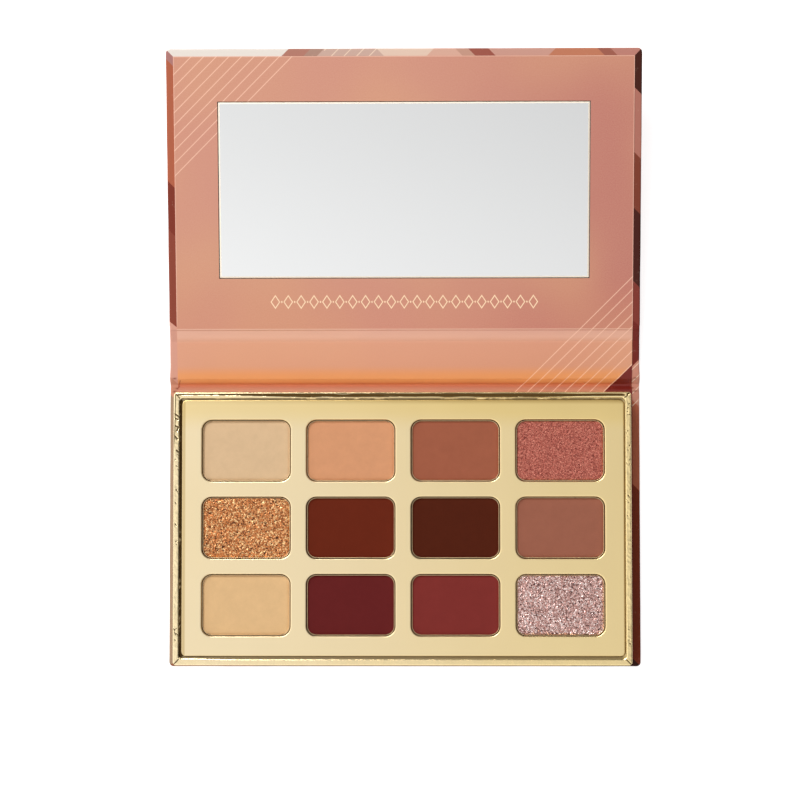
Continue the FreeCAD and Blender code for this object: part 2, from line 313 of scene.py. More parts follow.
class Nodes:
    """Short calls for building a node tree."""

    def __init__(self, tree):
        self.tree = tree

    def node(self, kind, inputs=(), **settings):
        made = self.tree.nodes.new("ShaderNode" + kind)
        for key, value in settings.items():
            setattr(made, key, value)
        for key, value in dict(inputs).items():
            self.put(made.inputs[key], value)
        return made

    def put(self, socket, value):
        if isinstance(value, bpy.types.NodeSocket):
            self.tree.links.new(value, socket)
        elif hasattr(socket.default_value, "__len__") and not hasattr(value, "__len__"):
            socket.default_value = [value] * len(socket.default_value)
        elif hasattr(value, "__len__") and len(socket.default_value) == 4:
            socket.default_value = tuple(value)[:3] + (1.0,)
        else:
            socket.default_value = value

    def math(self, operation, a, b=0.0, c=0.0, clamp=False):
        made = self.node("Math", {0: a, 1: b, 2: c}, operation=operation, use_clamp=clamp)
        return made.outputs[0]

    def mul(self, a, b):
        return self.math("MULTIPLY", a, b)


class Shader(Nodes):
    """The nodes of one new material."""

    def __init__(self, name):
        self.material = bpy.data.materials.new(name)
        self.material.use_nodes = True
        super().__init__(self.material.node_tree)
        self.bsdf = self.tree.nodes["Principled BSDF"]

    def mix(self, factor, a, b):
        made = self.node("Mix", data_type="RGBA")
        self.put(made.inputs[0], factor)
        self.put(made.inputs[6], a)
        self.put(made.inputs[7], b)
        return made.outputs[2]

    def sub(self, a, b):
        return self.math("SUBTRACT", a, b)

    def above(self, a, b):
        """1 where a is more than b, else 0."""
        return self.math("GREATER_THAN", a, b)

    def below(self, a, b):
        """1 where a is less than b, else 0."""
        return self.math("LESS_THAN", a, b)

    def tint(self, colour, mask, share, towards):
        """Moves a colour by a share of the mask towards another."""
        return self.mix(self.mul(mask, share), colour, towards)

    def ramp(self, value, stops, interpolation="LINEAR"):
        made = self.node("ValToRGB", {0: value})
        made.color_ramp.interpolation = interpolation
        elements = made.color_ramp.elements
        while len(elements) < len(stops):
            elements.new(1.0)
        for element, (place, colour) in zip(elements, stops):
            element.position = place
            colour = colour if hasattr(colour, "__len__") else (colour,) * 3
            element.color = (*colour, 1.0)
        return made.outputs[0]

    def flat(self):
        """The print coordinates u and v, in millimetres."""
        parts = self.node("SeparateXYZ", {0: self.node("UVMap", uv_map="flat").outputs[0]})
        return parts.outputs[0], parts.outputs[1]

    def scaled(self, source, scale):
        """Coordinates multiplied by a scale for each axis."""
        place = self.node("Mapping", {0: source})
        place.inputs["Scale"].default_value = scale
        return place

    def noise(self, place, detail, roughness):
        inputs = {"Vector": place.outputs[0], "Scale": 1.0, "Detail": detail, "Roughness": roughness}
        return self.node("TexNoise", inputs).outputs[0]

    def flat_noise(self, size, detail=2.0, roughness=0.5):
        """Noise over the print coordinates with features about size millimetres across."""
        source = self.node("UVMap", uv_map="flat").outputs[0]
        return self.noise(self.scaled(source, (1 / size, 1 / size, 1)), detail, roughness)

    def solid_noise(self, size, detail=2.0, roughness=0.5):
        """Noise in the piece's own space with features about size millimetres across."""
        source = self.node("TexCoord").outputs["Object"]
        return self.noise(self.scaled(source, (1 / (size * MM),) * 3), detail, roughness)

    def crease(self):
        return self.node("Attribute", attribute_name="crease").outputs["Fac"]

    def bump(self, height, distance):
        """Bump from a height in units of distance, in millimetres, added to any bump before."""
        made = self.node("Bump", {"Height": height, "Distance": distance * MM, "Strength": 1.0})
        normal = self.bsdf.inputs["Normal"]
        if normal.is_linked:
            self.put(made.inputs["Normal"], normal.links[0].from_socket)
        self.put(normal, made.outputs[0])

    def set(self, **values):
        for key, value in values.items():
            self.put(self.bsdf.inputs[key.replace("_", " ")], value)
        return self


def rgb(red, green, blue):
    """A display colour, 0 to 255, as linear light."""
    def linear(c):
        c /= 255
        return c / 12.92 if c <= 0.04045 else ((c + 0.055) / 1.055) ** 2.4
    return tuple(linear(c) for c in (red, green, blue))


def shade(colour, factor):
    return tuple(min(1.0, c * factor) for c in colour)


# -------- paper materials

LIGHT = 0.86            # pale surfaces are printed this much darker than they look when lit
DIM = 0.72              # the same for dark, glossy print
CREAM = rgb(246, 222, 196)
LINE_PITCH = 3.74       # spacing of the fine diagonal lines, along an edge of the liner
LINE_WIDTH = 0.26
ALL_LINES = (-400.0, 1000)      # first line and count that cover any strip
BUMP_FIBRE = 0.010
PALE_ABOVE = 0.35       # a print colour whose strongest channel is above this counts as pale
LINED_SHARE = 0.38      # share of the outside's facets that have fine diagonals
FACET_SIZE = (30, 44)


def paper(red, green, blue):
    return shade(rgb(red, green, blue), LIGHT)


def stripes(shader, across, first, count):
    """Mask of count fine lines where across = first, first + LINE_PITCH, ..."""
    step = shader.math("DIVIDE", shader.sub(across, first), LINE_PITCH)
    nearest = shader.math("ROUND", step)
    off = shader.math("ABSOLUTE", shader.sub(step, nearest))
    on_line = shader.below(off, LINE_WIDTH / LINE_PITCH * 0.707)
    above = shader.above(nearest, -0.5)
    below = shader.below(nearest, count - 0.5)
    return shader.mul(on_line, shader.mul(above, below))


def between(shader, value, low, high):
    """Rises smoothly from 0 at low to 1 at high, or falls if high is the smaller."""
    made = shader.node("MapRange", {0: value, 1: low, 2: high}, interpolation_type="SMOOTHSTEP")
    return made.outputs[0]


def ridge(shader, value, centre, reach):
    """1 at centre, falling smoothly to 0 at reach to either side."""
    away = shader.math("ABSOLUTE", shader.sub(value, centre))
    return between(shader, away, reach, 0.0)


def band(sh, value, *edges):
    """1 inside smooth edges, each given as where it is 0 and where it is 1."""
    made = between(sh, value, *edges[0])
    for edge in edges[1:]:
        made = sh.mul(made, between(sh, value, *edge))
    return made


PALE = 0.95             # shade of the palest print
# tints across the hinges, one over the other: mask, where it lies along v, share and colour
LINER_TINTS = [
    # the lid towards its hinge, the paler spine, and its warmer turn down to the tray: painted bounce light
    # from the gold wall
    (band, [(40, 20)], 0.14, paper(206, 112, 84)),
    (band, [(17.0, 13.0), (-0.6, 2.5)], 0.55, paper(237, 172, 135)),
    (band, [(6.2, 2.6), (-0.9, 1.0)], 0.85, paper(240, 158, 94)),
    # painted shade in the groove of the base hinge, warmed by painted bounce light from the gold wall
    (ridge, [-2.0, 1.6], 0.4, paper(206, 128, 90)),
    (ridge, [-0.1, 1.5], 0.9, paper(203, 106, 64)),
    # painted light on the ramp below the lid board, and a painted highlight along the board's edge
    (band, [(12.4, 14.9), (16.8, 16.35)], 0.42, shade(rgb(252, 205, 182), PALE)),
    (ridge, [16.95, 0.28], 0.6, paper(250, 205, 180)),
]
DARK_CORNER = (61.9, 62.3)      # u - v where its light border and the dark corner start
UPPER_LINES = (5.4, 9)          # first of the fine diagonals and how many, at the free corner
LOWER_LINES = (35.6, 7)         # and beside the dark corner
CUT_EDGE = 0.22                 # width of the pale cut edge


def liner_material():
    """Warm rose-tan printed paper with fine cream diagonals in two corners."""
    sh = Shader("liner_paper")
    u, v = sh.flat()
    colour = sh.mix(between(sh, u, -10, 75), paper(210, 143, 121), paper(193, 118, 103))
    tone = sh.flat_noise(45, detail=1)
    colour = sh.mix(between(sh, tone, 0.35, 0.7), colour, sh.mix(0.5, colour, rgb(206, 150, 112)))
    fibre = sh.flat_noise(0.35, detail=4, roughness=0.7)
    colour = sh.tint(colour, between(sh, fibre, 0.3, 0.7), 0.08, CREAM)
    for mask, place, share, towards in LINER_TINTS:
        colour = sh.tint(colour, mask(sh, v, *place), share, towards)
    # dark corner beside the base hinge, with a fine light border
    corner = sh.sub(u, v)
    colour = sh.mix(sh.above(corner, DARK_CORNER[1]), colour, shade(rgb(128, 30, 20), DIM))
    upper = sh.sub(FAR_S - LINER_MARGIN + LINER_X, sh.sub(v, u))
    line = sh.math("ADD", stripes(sh, upper, *UPPER_LINES), stripes(sh, corner, *LOWER_LINES),
                   clamp=True)
    border = sh.mul(sh.above(corner, DARK_CORNER[0]), sh.below(corner, DARK_CORNER[1]))
    line = sh.math("ADD", line, border, clamp=True)
    colour = sh.tint(colour, line, 0.6, shade(rgb(250, 205, 178), PALE))
    # pale cut edge of the lid's liner
    inset_x = sh.sub(LINER_X, sh.math("ABSOLUTE", u))
    inset_s = sh.sub(FAR_S - LINER_MARGIN, v)
    rim = sh.below(sh.math("MINIMUM", inset_x, inset_s), CUT_EDGE)
    rim = sh.mul(rim, between(sh, v, 17.0, 19.5))
    colour = sh.tint(colour, rim, 0.4, shade(rgb(252, 206, 184), PALE))
    # painted shade in the fold marks at the ends of the base hinge
    colour = sh.tint(colour, sh.crease(), 0.9, rgb(124, 44, 20))
    sh.set(Base_Color=colour, Roughness=0.42, Specular_IOR_Level=0.35)
    sh.bump(fibre, BUMP_FIBRE)
    sh.bump(sh.flat_noise(14, detail=1), 0.10)
    return sh.material


FACETS = [
    rgb(92, 42, 34), rgb(196, 132, 108), rgb(150, 58, 44), rgb(228, 196, 170),
    rgb(120, 30, 30), rgb(205, 112, 78), rgb(232, 168, 140), rgb(74, 34, 30),
]


def print_finish(sh, colour):
    """Worn, satin-laminated paper over a printed colour."""
    wear = sh.flat_noise(2.2, detail=5, roughness=0.75)
    colour = sh.tint(colour, between(sh, wear, 0.58, 0.85), 0.25, CREAM)
    # painted shade in the fold marks at the ends of the base hinge
    colour = sh.tint(colour, sh.crease(), 0.9, rgb(112, 42, 22))
    sh.set(Base_Color=colour, Roughness=0.4, Specular_IOR_Level=0.12)
    sh.bump(sh.flat_noise(0.4, detail=3), 0.008)
    sh.bump(sh.flat_noise(12, detail=1), 0.08)
    return sh.material


def outside_material():
    """Outside of the cover: straight-sided facets in earth reds, some with fine diagonals."""
    sh = Shader("printed_wrap_outside")
    u, v = sh.flat()
    place = sh.scaled(sh.node("UVMap", uv_map="flat").outputs[0], (1 / FACET_SIZE[0], 1 / FACET_SIZE[1], 1))
    place.inputs["Rotation"].default_value = (0, 0, math.radians(45))
    cells = sh.node("TexVoronoi", {"Vector": place.outputs[0], "Scale": 1.0, "Randomness": 1.0},
                    voronoi_dimensions="2D", distance="EUCLIDEAN")
    pick = sh.node("SeparateColor", {0: cells.outputs["Color"]})
    stops = [(k / len(FACETS), colour) for k, colour in enumerate(FACETS)]
    colour = sh.ramp(pick.outputs[0], stops, "CONSTANT")
    lined = sh.above(pick.outputs[1], 1 - LINED_SHARE)
    line = sh.mul(stripes(sh, sh.sub(u, v), *ALL_LINES), lined)
    return print_finish(sh, sh.tint(colour, line, 0.7, CREAM))


def edge_material(name, along, edge, first, facets, lined=None):
    """Folded-in strip of the same print.  Facets follow one another along the strip: along is
    "u" or "v", edge is where the strip's outer edge lies across it, and facets are (where one
    starts, lean of its start line, colour).  lined is a stretch with fine diagonals."""
    sh = Shader(name)
    u, v = sh.flat()
    run, over = (u, v) if along == "u" else (v, u)
    over = sh.sub(over, edge)
    colour = paper(*first)
    for start, lean, print_colour in facets:
        place = sh.math("MULTIPLY_ADD", over, lean, run)
        tint = rgb(*print_colour)
        tint = shade(tint, LIGHT if max(tint) > PALE_ABOVE else DIM)
        colour = sh.mix(sh.above(place, start), colour, tint)
    if lined:
        inside = sh.mul(sh.above(run, lined[0]), sh.below(run, lined[1]))
        line = sh.mul(stripes(sh, sh.sub(u, v), *ALL_LINES), inside)
        colour = sh.tint(colour, line, 0.55, CREAM)
    return print_finish(sh, colour)


# -------- other materials

GOLD = (0.92, 0.765, 0.50)
DEEP_GOLD = (0.97, 0.745, 0.33)
# colour of the painted shade on the gold card
GOLD_SHADE = (0.50, 0.33, 0.10)
# colour of the painted shade and dark reflections in the foil
FOIL_SHADE_COLOUR = rgb(80, 56, 14)


def foil_material():
    """Pale gold metallic paper, glossy, turned dark brown and duller by painted shade and painted dark
    reflections in its folds and along some edges.
    """
    sh = Shader("gold_foil")
    u = sh.flat()[0]
    tone = sh.solid_noise(9, detail=2)
    colour = sh.tint(shade(GOLD, 1.05), between(sh, u, -70, 70), 0.65, DEEP_GOLD)
    colour = sh.mix(tone, colour, sh.mix(0.4, colour, DEEP_GOLD))
    # painted shade and dark reflection: the foil turns brown and less metallic by its shade share
    fold = between(sh, sh.crease(), 0.1, 0.6)
    colour = sh.mix(fold, colour, FOIL_SHADE_COLOUR)
    sh.set(Base_Color=colour, Metallic=sh.math("SUBTRACT", 1.0, fold, clamp=True),
           Roughness=sh.math("MULTIPLY_ADD", fold, 0.35, 0.2), Specular_IOR_Level=0.15)
    sh.bump(sh.solid_noise(1.6, detail=3, roughness=0.6), 0.04)
    return sh.material


def card_material():
    """Gold card: the same metal, satin, deeper towards the right and the hinge side, with painted shade
    towards its rear edge and round its outer rim.
    """
    sh = Shader("gold_card")
    u, v = sh.flat()
    deep = sh.mul(between(sh, u, -60, 85), 0.7)
    rear_edge = PANEL_HI[1]
    rear = between(sh, v, rear_edge - 10, rear_edge - 2)
    colour = sh.mix(sh.math("MULTIPLY_ADD", rear, 0.6, deep, clamp=True), GOLD, DEEP_GOLD)
    # painted shade darkening the card towards its rear edge
    colour = sh.tint(colour, rear, 0.14, GOLD_SHADE)
    # painted shade along the rear edge, beside the tray's rear wall
    brim = sh.mul(between(sh, v, rear_edge - 1.7, rear_edge - 0.2), between(sh, u, -95, 40))
    colour = sh.tint(colour, brim, 0.8, GOLD_SHADE)
    # painted shade round the card's outer rim, dulling its highlight
    edge_u = sh.sub(PANEL_HI[0], sh.math("ABSOLUTE", u))
    edge_v = sh.math("MINIMUM", sh.sub(rear_edge, v), sh.sub(v, PANEL_LO[1]))
    lip = between(sh, sh.math("MINIMUM", edge_u, edge_v), 0.5, 0.1)
    colour = sh.tint(colour, lip, 0.55, GOLD_SHADE)
    colour = sh.mix(sh.solid_noise(25, detail=1), colour, sh.mix(0.2, colour, DEEP_GOLD))
    sh.set(Base_Color=colour, Metallic=1.0, Roughness=0.28)
    sh.bump(sh.solid_noise(0.5, detail=3), 0.006)
    sh.bump(sh.solid_noise(18, detail=1), 0.10)
    return sh.material


def metal_material(name, colour, roughness, grain):
    sh = Shader(name)
    sh.set(Base_Color=colour, Metallic=1.0,
           Roughness=sh.ramp(sh.solid_noise(grain, detail=3),
                             [(0.3, roughness * 0.7), (0.7, roughness * 1.3)]))
    sh.bump(sh.solid_noise(grain, detail=3), 0.01)
    return sh.material


def mirror_material():
    """Silvered glass with a faint haze, its colour painted darker towards the free edge of the lid as a
    painted reflection gradient.
    """
    sh = Shader("mirror_glass")
    v = sh.flat()[1]
    haze = sh.ramp(sh.solid_noise(30, detail=2), [(0.3, 0.01), (0.8, 0.03)])
    # painted reflection gradient: the silvering darkens towards the lid's free edge
    tint = sh.mix(between(sh, v, MIRROR_LO[1] - 8, MIRROR_HI[1] + 8), (0.865, 0.87, 0.87),
                  (0.79, 0.795, 0.795))
    sh.set(Base_Color=tint, Metallic=1.0, Roughness=haze)
    return sh.material


def ground_edge_material():
    """Ground bevel of the mirror: frosted and pale."""
    sh = Shader("mirror_bevel")
    colour = sh.mix(sh.solid_noise(0.6, detail=3), rgb(250, 240, 222), rgb(240, 226, 204))
    sh.set(Base_Color=colour, Roughness=0.35, Specular_IOR_Level=0.6)
    return sh.material


def board_material():
    """Raw greyboard with flecks."""
    sh = Shader("greyboard")
    fleck = sh.ramp(sh.solid_noise(0.7, detail=4, roughness=0.8), [(0.42, 0.0), (0.62, 1.0)])
    colour = sh.mix(fleck, rgb(150, 144, 134), rgb(186, 180, 170))
    sh.set(Base_Color=colour, Roughness=0.9, Specular_IOR_Level=0.2)
    sh.bump(sh.solid_noise(0.5, detail=4), 0.04)
    return sh.material


def plain_material(name, colour, roughness, grain):
    sh = Shader(name)
    varied = sh.mix(sh.solid_noise(grain * 6, detail=2), colour, shade(colour, 0.85))
    sh.set(Base_Color=varied, Roughness=roughness)
    sh.bump(sh.solid_noise(grain, detail=3), 0.02)
    return sh.material


def matte_powder(number, colour, speck):
    """Pressed matte powder: fine grain and faint mottling."""
    sh = Shader("powder_%02d" % number)
    mottle = sh.solid_noise(3.0, detail=4, roughness=0.65)
    grain = sh.solid_noise(0.22, detail=3, roughness=0.7)
    varied = sh.mix(sh.ramp(mottle, [(0.3, 0.0), (0.7, 1.0)]),
                    shade(colour, 0.96), shade(colour, 1.04))
    varied = sh.mix(sh.ramp(grain, [(0.35, speck), (0.6, 0.0)]), varied, shade(colour, 0.75))
    sh.set(Base_Color=varied, Roughness=0.9, Specular_IOR_Level=0.06)
    sh.bump(grain, 0.045)
    sh.bump(mottle, 0.06)
    return sh.material


def shimmer_powder(number, colour, spark, dark, size, metallic, roughness):
    """Pressed shimmer or glitter: each flake has its own tone."""
    sh = Shader("powder_%02d" % number)
    place = sh.scaled(sh.node("TexCoord").outputs["Object"], (1 / (size * MM),) * 3)
    flakes = sh.node("TexVoronoi", {"Vector": place.outputs[0], "Scale": 1.0})
    pick = sh.node("SeparateColor", {0: flakes.outputs["Color"]})
    tone = sh.ramp(pick.outputs[0], [(0.0, dark), (0.38, colour), (0.66, colour), (1.0, spark)])
    glint = sh.ramp(pick.outputs[1], [(0.0, roughness), (0.6, roughness), (1.0, roughness * 0.45)])
    sh.set(Base_Color=tone, Metallic=metallic, Roughness=glint)
    sh.bump(pick.outputs[2], size * 0.22)
    return sh.material


LINER_MAT = liner_material()
OUTSIDE_MAT = outside_material()
TOP_MAT = edge_material(
    "printed_wrap_top", "u", FAR_S, (236, 226, 216),
    [(-34.0, -1, (182, 124, 108)), (-27.5, -1, (178, 140, 124)),
     (-23.5, -1, (206, 172, 157)), (-8.0, 1, (230, 200, 180)), (9.0, -1, (220, 172, 152)),
     (15.2, 1, (200, 152, 132)), (19.0, 1, (160, 88, 74)), (25.0, 1, (206, 154, 138)),
     (45.0, -1, (196, 124, 94)), (57.2, 1, (162, 96, 80)), (61.0, 1, (192, 130, 116))],
    (-23.5, -8.0))
RIGHT_MAT = edge_material(
    "printed_wrap_right", "v", HALF_X, (130, 50, 26),
    [(-32.2, 1, (189, 106, 79)), (-7.0, 1, (204, 140, 120)), (7.7, -1, (126, 44, 36)),
     (17.5, 1, (142, 62, 52)), (29.2, 1, (80, 34, 26)), (51.0, 1, (138, 68, 50)),
     (67.5, 1, (178, 114, 99)), (86.5, 1, (78, 34, 24))],
    (-7.0, 7.7))
LEFT_MAT = edge_material(
    "printed_wrap_left", "v", -HALF_X, (163, 136, 111),
    [(-3.0, 1, (206, 142, 116)), (2.5, 1, (220, 160, 140)), (19.4, 0.8, (156, 76, 58)),
     (47.0, 1, (142, 60, 44)), (61.5, 1, (180, 98, 70)), (97.5, 1, (176, 122, 116))])
FRONT_MAT = edge_material(
    "printed_wrap_front", "u", FRONT_S, (158, 96, 66),
    [(-45.0, 1, (150, 112, 82)), (50.0, 1, (66, 28, 16))])
FOIL_MAT = foil_material()
CARD_MAT = card_material()
PAN_MAT = metal_material("pan_metal", (0.70, 0.52, 0.31), 0.36, 0.6)
MAGNET_MAT = metal_material("magnet_steel", (0.70, 0.71, 0.73), 0.25, 0.8)
MIRROR_MAT = mirror_material()
BEVEL_MAT = ground_edge_material()
BOARD_MAT = board_material()
STAMP_MAT = plain_material("cream_stamp", rgb(250, 216, 178), 0.35, 0.5)
CARRIER_MAT = plain_material("formed_tray", rgb(46, 42, 42), 0.55, 0.8)
GLUE_MAT = plain_material("glue", rgb(238, 234, 224), 0.4, 1.0)

CAD_LOOKS = {
    "greyboard": BOARD_MAT, "magnet_steel": MAGNET_MAT, "formed_tray": CARRIER_MAT,
    "glue": GLUE_MAT,
}
SLOT_OF = {part["node"]: part["material_slot"] for part in frame["record"]["subparts"]}
for node, obj in frame["nodes"].items():
    if SLOT_OF[node] in CAD_LOOKS:
        obj.data.materials.clear()
        obj.data.materials.append(CAD_LOOKS[SLOT_OF[node]])


# -------- cover: outer paper

def paper_profile(height):
    """Outer paper in section, as (distance in from the outline, z): from under the panel, round
    the edge and onto the inside."""
    radius = min(EDGE, height * 0.45)
    corners = [(UNDER, 0.0), (0.0, 0.0), (0.0, height), (TUCK, height)]
    path = rounded_path(corners, [radius, radius], STEP)
    keep = [0]
    for i in range(1, len(path)):
        straight = path[i][0] > radius * 1.2
        spacing = 2.0 if path[i][1] < height / 2 else 0.8
        far_enough = np.linalg.norm(path[i] - path[keep[-1]]) > spacing
        if not straight or far_enough or i == len(path) - 1:
            keep.append(i)
    return path[keep]


def panel_outline(near, far, inset, side_count=26, far_count=44, turn=8):
    """Open outline of the base or the lid, shrunk by inset: up the left side from near, round the
    free end and back down the right side."""
    way = 1 if far > near else -1
    round_off = max(CORNER - inset, 0)
    hold = max(CORNER, inset)
    cx, cs = HALF_X - hold, far - way * hold
    points = [(-HALF_X + inset, near + (cs - near) * i / side_count) for i in range(side_count)]
    for k in range(turn + 1):
        angle = k / turn * math.pi / 2
        points.append((-cx - round_off * math.cos(angle), cs + way * round_off * math.sin(angle)))
    points += [(-cx + 2 * cx * i / far_count, far - way * inset) for i in range(1, far_count)]
    for k in range(turn + 1):
        angle = (1 - k / turn) * math.pi / 2
        points.append((cx + round_off * math.cos(angle), cs + way * round_off * math.sin(angle)))
    points += [(HALF_X - inset, cs + (near - cs) * i / side_count)
               for i in range(1, side_count + 1)]
    return np.array(points)


def panel_wrap(name, near, far, height, body, node, side_mats):
    """Outer paper of the base or the lid as one folded sheet."""
    profile = paper_profile(height)
    rows = [panel_outline(near, far, inset) for inset, _ in profile]
    width = len(rows[0])
    points = stack(rows, profile[:, 1])
    outer = points[:, 2] > 0.01
    points[:, 0] += np.where(outer, wobble(points, 0.05, 9.0, 1), 0)
    points[:, 1] += np.where(outer, wobble(points, 0.05, 9.0, 2), 0)
    faces = bridge(len(rows), width)
    way = 1 if far > near else -1
    if way > 0:
        faces = [f[::-1] for f in faces]
    faces.append(tuple(range(width))[::way])
    obj = piece(name, points, faces, OUTSIDE_MAT)
    for material in side_mats:
        obj.data.materials.append(material)
    paint_sides(obj, far, height)
    thicken(obj, SHEET)
    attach(obj, body)
    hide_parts(node)


def paint_sides(obj, far, height):
    """Faces above the underside take the strip material of their side."""
    mesh = obj.data
    flat = mesh.uv_layers["flat"].data
    order = {"left": 1, "right": 2, "end": 3}
    for poly in mesh.polygons:
        u, v = sum((flat[i].uv for i in poly.loop_indices), Vector((0, 0))) / poly.loop_total
        inward_x, inward_s = HALF_X - abs(u), abs(far - v)
        lowest = min(inward_x, inward_s)
        on_top = poly_height(obj, poly) > height * 0.18
        if not on_top or lowest > TUCK + 0.5:
            continue
        side = "end" if inward_s < inward_x else ("left" if u < 0 else "right")
        poly.material_index = order[side]


def poly_height(obj, poly):
    """Height of a face's middle in the flat frame."""
    middle = sum((obj.data.vertices[i].co for i in poly.vertices), Vector()) / len(poly.vertices)
    y, z = middle.y / MM - AXIS[1], middle.z / MM - AXIS[2]
    if y < 0:
        return z + AXIS[2]
    return AXIS[2] - y * math.sin(REST) + z * math.cos(REST)


def hinge_curve(at, low_z, high_z):
    """Inside of a hinge in section, as (s, z): off one board, down into the groove and up onto
    the next.  The base hinge has a groove; the lid hinge ramps up from the spine to just under the
    lid's board and ends in a small step."""
    if at == 0:
        corners = [(-2.75, low_z), (-1.75, low_z), (-0.5, 0.62), (0.1, 0.62), (1.9, high_z),
                   (2.75, high_z)]
        radii = [0.25, 0.3, 0.3, 1.1]
    else:
        corners = [(-2.75, low_z), (-2.0, low_z), (1.35, high_z - 0.15), (1.62, high_z),
                   (2.75, high_z)]
        radii = [1.5, 0.1, 0.14]
    path = rounded_path(corners, radii, 0.14)
    return path + np.array([at, 0.0])


def swell(points):
    """How far the ends of the cover stand out beside the base hinge."""
    near = np.exp(-((points[:, 1] - BULGE_AT) / BULGE_REACH) ** 2)
    end = unit((np.abs(points[:, 0]) - (HALF_X - 1.5)) / 1.5)
    return np.where(points[:, 0] < 0, -BULGE[-1], BULGE[1]) * near * end


# creases at each end of the base hinge: distance from the end and s, at both ends, and reach
FOLD_MARKS = [
    (0.9, -2.6, 2.6, -0.6, 0.30), (2.9, 1.4, 2.2, -1.4, 0.22), (0.3, 3.6, 1.5, 1.6, 0.22),
]


def fold_marks(points):
    """How deep in a crease of the base hinge each point lies."""
    marks = np.zeros(len(points))
    for side in (-1, 1):
        for in_a, s_a, in_b, s_b, reach in FOLD_MARKS:
            ends = (side * (HALF_X - in_a), s_a), (side * (HALF_X - in_b), s_b)
            marks = np.maximum(marks, closeness(points[:, :2], *ends, reach))
    return marks


def end_materials(obj, section):
    """Columns of a wrap strip near its two ends take the strip materials of those sides."""
    obj.data.materials.append(LEFT_MAT)
    obj.data.materials.append(RIGHT_MAT)
    half, per_row = section // 2, section - 1
    for index, poly in enumerate(obj.data.polygons):
        column = index % per_row
        if column < half - 6:
            poly.material_index = 1
        elif column > half + 5:
            poly.material_index = 2


def hinge_wrap(name, at, low_z, high_z):
    """Outer paper across one hinge, with its folded-in ends."""
    top = hinge_curve(at, low_z, high_z)
    start, end = at - GAP - SEAM, at + GAP + SEAM
    bottom_s = np.linspace(start, end, len(top))
    pressed = PRESSED * np.cos(np.clip((bottom_s - at) / GAP, -1, 1) * math.pi / 2)
    rows = []
    for (s, z), base_s, press in zip(top, bottom_s, pressed):
        side = [(HALF_X - d, base_s + (s - base_s) * h, press + (z - press) * h)
                for d, h in paper_profile(1.0)]
        rows.append([(-x, b, c) for x, b, c in side[::-1]] + side)
    section = len(rows[0])
    points = np.array(rows).reshape(-1, 3)
    points[:, 0] += swell(points)
    marks = fold_marks(points) * (points[:, 2] > 0.3)
    points[:, 2] -= 0.12 * marks
    faces = [f[::-1] for f in bridge(len(top), section)]
    obj = piece(name, points, faces, OUTSIDE_MAT, crease=marks)
    end_materials(obj, section)
    thicken(obj, SHEET)
    hinge_point(at, -FOLD)
    hinge_point(at, FOLD)
    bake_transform(obj)


def hinge_point(at, offset):
    """A point on the mid-paper line, offset from a hinge axis, in the row frame."""
    return tuple(lift([(0, at + offset, AXIS[2])])[0])


def spine_wrap(start, end, height):
    side = [(HALF_X - d, h) for d, h in paper_profile(height)]
    section = [(-x, h) for x, h in side[::-1]] + side
    cuts = np.linspace(start, end, 18)
    points = np.array([(x, s, h) for s in cuts for x, h in section])
    points[:, 0] += swell(points)
    faces = [f[::-1] for f in bridge(len(cuts), len(section))]
    obj = piece("cover_wrap_spine", points, faces, OUTSIDE_MAT)
    end_materials(obj, len(section))
    thicken(obj, SHEET)
    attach(obj, "spine")
    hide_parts("spine_wrap")


BASE_CUT = -GAP - SEAM
LID_CUT = SPACING + GAP + SEAM
panel_wrap("cover_wrap_base", BASE_CUT, FRONT_S, BASE_PAPER_Z, "base", "base_wrap",
           (LEFT_MAT, RIGHT_MAT, FRONT_MAT))
panel_wrap("cover_wrap_lid", LID_CUT, FAR_S, LID_PAPER_Z, "lid", "lid_wrap",
           (LEFT_MAT, RIGHT_MAT, TOP_MAT))
spine_wrap(GAP + SEAM, SPACING - GAP - SEAM, SPINE_PAPER_Z)
hinge_wrap("cover_hinge_base", 0.0, BASE_PAPER_Z, SPINE_PAPER_Z)
hinge_wrap("cover_hinge_lid", SPACING, SPINE_PAPER_Z, LID_PAPER_Z)


# -------- cover: liner paper

def sheet_grid(xs, cuts, height, hole=None):
    """Flat sheet on a grid, with an optional rectangular hole (x0, x1, s0, s1)."""
    xs, cuts = np.asarray(xs), np.asarray(cuts)
    points = np.array([(x, s, height) for s in cuts for x in xs])
    faces = []
    for j in range(len(cuts) - 1):
        for i in range(len(xs) - 1):
            mid_x, mid_s = (xs[i] + xs[i + 1]) / 2, (cuts[j] + cuts[j + 1]) / 2
            if hole and hole[0] < mid_x < hole[1] and hole[2] < mid_s < hole[3]:
                continue
            a = j * len(xs) + i
            faces.append((a, a + 1, a + 1 + len(xs), a + len(xs)))
    used = sorted({i for f in faces for i in f})
    new = {old: k for k, old in enumerate(used)}
    return points[used], [tuple(new[i] for i in f) for f in faces]


def spaced(marks, step):
    """Marks with even steps between them."""
    out = [marks[0]]
    for a, b in zip(marks, marks[1:]):
        parts = max(1, int(round(abs(b - a) / step)))
        out += [a + (b - a) * k / parts for k in range(1, parts + 1)]
    return out


def liner_panel(name, marks_s, height, body, node, hole=None):
    marks_x = [-LINER_X, LINER_X] if hole is None else [-LINER_X, hole[0], hole[1], LINER_X]
    points, faces = sheet_grid(spaced(marks_x, 3.0), spaced(marks_s, 3.0), height, hole)
    obj = piece(name, points, faces, LINER_MAT)
    thicken(obj, LINER)
    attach(obj, body)
    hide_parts(node)


